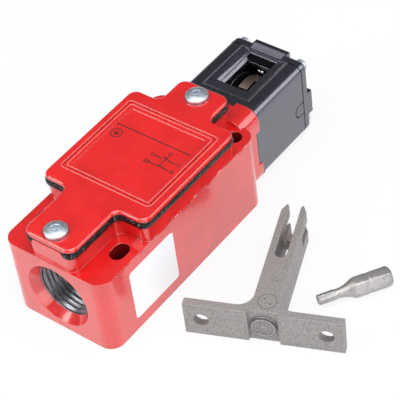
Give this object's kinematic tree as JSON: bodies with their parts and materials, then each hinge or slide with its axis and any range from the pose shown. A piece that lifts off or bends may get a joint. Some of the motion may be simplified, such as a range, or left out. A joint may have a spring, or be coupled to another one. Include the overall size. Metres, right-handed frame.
{
  "type": "tongue interlock switch",
  "caption": "Guard interlock switch in a die-cast housing with a slotted tongue head, screwed cover and threaded conduit entry, plus its separate actuator tongue and driver bit.",
  "frame": {"origin": "on the flat back face, at the centre of the four mounting holes", "axes": "+X across the body, +Y along the body from the conduit entry towards the operating head, +Z from the back face out through the cover"},
  "size_m": [0.1025, 0.1192, 0.0412],
  "materials": {
    "red_casting": "gloss",
    "black_casting": "satin",
    "black_plastic": "satin",
    "rubber": "matt",
    "zinc_plated": "satin",
    "sintered_bronze": "satin",
    "bright_steel": "polished",
    "silvered_contact": "satin",
    "block_plastic": "matt",
    "carrier_plastic": "matt",
    "bush_bronze": "satin",
    "label_paper": "matt",
    "sintered_key": "grained",
    "bit_steel": "satin"
  },
  "bodies": {
    "switch": {"housing": "red_casting", "cover": "red_casting", "cover_gasket": "rubber", "cover_screws": "zinc_plated", "head_body": "black_casting", "top_slot_frame": "black_plastic", "head_end_cover": "black_casting", "head_screws": "zinc_plated", "head_seal": "rubber", "plunger_bush": "bush_bronze", "contact_base": "block_plastic", "contact_cap": "block_plastic", "fixed_contacts": "silvered_contact", "terminal_screws": "zinc_plated", "terminal_clamps": "zinc_plated", "return_spring": "bright_steel", "block_screws": "zinc_plated", "earth_clamp": "zinc_plated", "earth_screw": "zinc_plated", "side_label": "label_paper"},
    "wheel": {"cam_wheel": "sintered_bronze", "wheel_flanges": "black_plastic", "wheel_axle": "bright_steel", "drive_pin": "bright_steel"},
    "plunger": {"plunger": "bright_steel", "contact_carrier": "carrier_plastic", "safety_bridge": "silvered_contact", "signal_bridge": "silvered_contact"},
    "tongue": {"actuator_key": "sintered_key"},
    "bit": {"driver_bit": "bit_steel"}
  },
  "joints": [
    {"name": "wheel_turn", "type": "hinge", "parent": "switch", "child": "wheel", "pos_m": [0, 0.0579, 0.0158], "axis": [1, 0, 0], "range_deg": [0, 58]},
    {"name": "plunger_slide", "type": "slide", "parent": "switch", "child": "plunger", "axis": [0, 1, 0], "range_m": [0, 0.00291], "deforming": ["return_spring"]},
    {"name": "tongue_lift", "type": "slide", "parent": "switch", "child": "tongue", "axis": [0, 0, 1], "range_m": [0, 0.1]},
    {"name": "bit_lift", "type": "slide", "parent": "switch", "child": "bit", "axis": [0, 0, 1], "range_m": [0, 0.1]}
  ],
  "couplings": [
    {"joint": "plunger_slide", "follows": "wheel_turn", "m_per_rad": 0.0028648}
  ]
}
